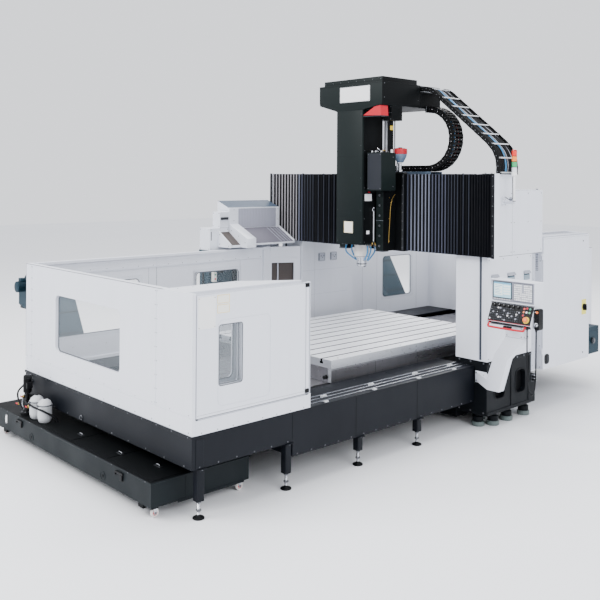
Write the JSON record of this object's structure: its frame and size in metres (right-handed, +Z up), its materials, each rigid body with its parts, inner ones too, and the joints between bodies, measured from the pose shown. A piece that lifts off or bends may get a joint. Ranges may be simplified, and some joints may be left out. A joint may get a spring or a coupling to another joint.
{
  "type": "gantry machining center",
  "caption": "Gantry machining center: a long T-slot table travels under a fixed bridge, with a head that crosses and plunges, sheet-metal guards and sliding operator doors.",
  "frame": {"origin": "on the floor at the underside of the bed's middle pad", "axes": "+Z up, +Y along the table's travel towards the rear, +X towards the operator's side"},
  "size_m": [5.315, 7.438, 4.14],
  "materials": {
    "white_paint": "satin powder coat",
    "black_paint": "satin",
    "head_paint": "satin",
    "slate_paint": "satin",
    "tank_paint": "satin",
    "grey_paint": "satin",
    "machined_steel": "ground",
    "chrome_steel": "polished",
    "bellows_cloth": "coated cloth",
    "chain_plastic": "moulded",
    "blue_plastic": "moulded",
    "black_plastic": "moulded",
    "cord_rubber": "matt",
    "wheel_plastic": "moulded",
    "pane": "clear"
  },
  "bodies": {
    "machine": {"bed": "black_paint", "front_tray": "black_paint", "left_tray": "black_paint", "right_tray": "black_paint", "rear_tray": "black_paint", "tray_legs": "black_paint", "left_column": "white_paint", "right_column": "white_paint", "column_bases": "slate_paint", "crossbeam": "head_paint", "left_bellows": "bellows_cloth", "right_bellows": "bellows_cloth", "front_wall": "white_paint", "left_wall": "white_paint", "operator_wall": "white_paint", "rear_wall": "white_paint", "rear_side_walls": "white_paint", "window_panes": "pane", "tool_magazine": "white_paint", "magazine_chute": "white_paint", "magazine_stand": "slate_paint", "front_conveyor": "slate_paint", "rear_conveyor": "slate_paint", "electrical_cabinet": "white_paint", "console_arm": "white_paint", "console": "white_paint", "handwheel_pendant": "black_plastic", "pendant_cord": "cord_rubber", "coolant_tank": "tank_paint", "tank_pumps": "grey_paint", "caster_forks": "chrome_steel", "stack_light": "grey_paint", "ladder_chain": "chain_plastic", "loop_chain": "chain_plastic", "front_way_cover": "machined_steel", "rear_way_cover": "machined_steel"},
    "table": {"table": "machined_steel"},
    "saddle": {"saddle": "head_paint", "balance_cylinders": "head_paint", "cable_arm": "head_paint"},
    "head": {"ram": "head_paint", "hood": "head_paint", "coolant_nozzles": "blue_plastic"},
    "spindle": {"spindle_nose": "chrome_steel"},
    "outer_door": {"outer_door": "white_paint"},
    "inner_door": {"inner_door": "white_paint"},
    "cabinet_door": {"cabinet_door": "white_paint"},
    "disconnect_switch": {"disconnect_switch": "black_plastic"},
    "caster_1": {"caster_wheel_1": "wheel_plastic"},
    "caster_2": {"caster_wheel_2": "wheel_plastic"},
    "caster_3": {"caster_wheel_3": "wheel_plastic"},
    "caster_4": {"caster_wheel_4": "wheel_plastic"}
  },
  "joints": [
    {"name": "table_slide", "type": "slide", "parent": "machine", "child": "table", "axis": [0, 1, 0], "range_m": [-1.45, 1.45], "deforming": ["front_way_cover", "rear_way_cover"]},
    {"name": "saddle_slide", "type": "slide", "parent": "machine", "child": "saddle", "axis": [1, 0, 0], "range_m": [-1, 1], "deforming": ["left_bellows", "right_bellows", "ladder_chain", "loop_chain"]},
    {"name": "head_slide", "type": "slide", "parent": "saddle", "child": "head", "axis": [0, 0, 1], "range_m": [-0.36, 0.4]},
    {"name": "spindle_spin", "type": "hinge", "parent": "head", "child": "spindle", "pos_m": [0.145, 0.04, 1.85], "axis": [0, 0, -1], "continuous": true},
    {"name": "outer_door_slide", "type": "slide", "parent": "machine", "child": "outer_door", "axis": [0, 1, 0], "range_m": [0, 2.6]},
    {"name": "inner_door_slide", "type": "slide", "parent": "machine", "child": "inner_door", "axis": [0, 1, 0], "range_m": [0, 1.3]},
    {"name": "cabinet_door_hinge", "type": "hinge", "parent": "machine", "child": "cabinet_door", "pos_m": [1.773, 1.604, 1.34], "axis": [0, 0, -1], "range_deg": [0, 90]},
    {"name": "disconnect_turn", "type": "hinge", "parent": "cabinet_door", "child": "disconnect_switch", "pos_m": [1.801, 2.626, 1.2], "axis": [1, 0, 0], "range_deg": [0, 90]},
    {"name": "caster_1_spin", "type": "hinge", "parent": "machine", "child": "caster_1", "pos_m": [1.29, -3.757, 0.038], "axis": [1, 0, 0], "continuous": true},
    {"name": "caster_2_spin", "type": "hinge", "parent": "machine", "child": "caster_2", "pos_m": [-1.747, -3.757, 0.038], "axis": [1, 0, 0], "continuous": true},
    {"name": "caster_3_spin", "type": "hinge", "parent": "machine", "child": "caster_3", "pos_m": [1.29, -2.84, 0.038], "axis": [1, 0, 0], "continuous": true},
    {"name": "caster_4_spin", "type": "hinge", "parent": "machine", "child": "caster_4", "pos_m": [-1.747, -2.84, 0.038], "axis": [1, 0, 0], "continuous": true}
  ],
  "couplings": [
    {"joint": "inner_door_slide", "follows": "outer_door_slide", "ratio": 0.5}
  ]
}
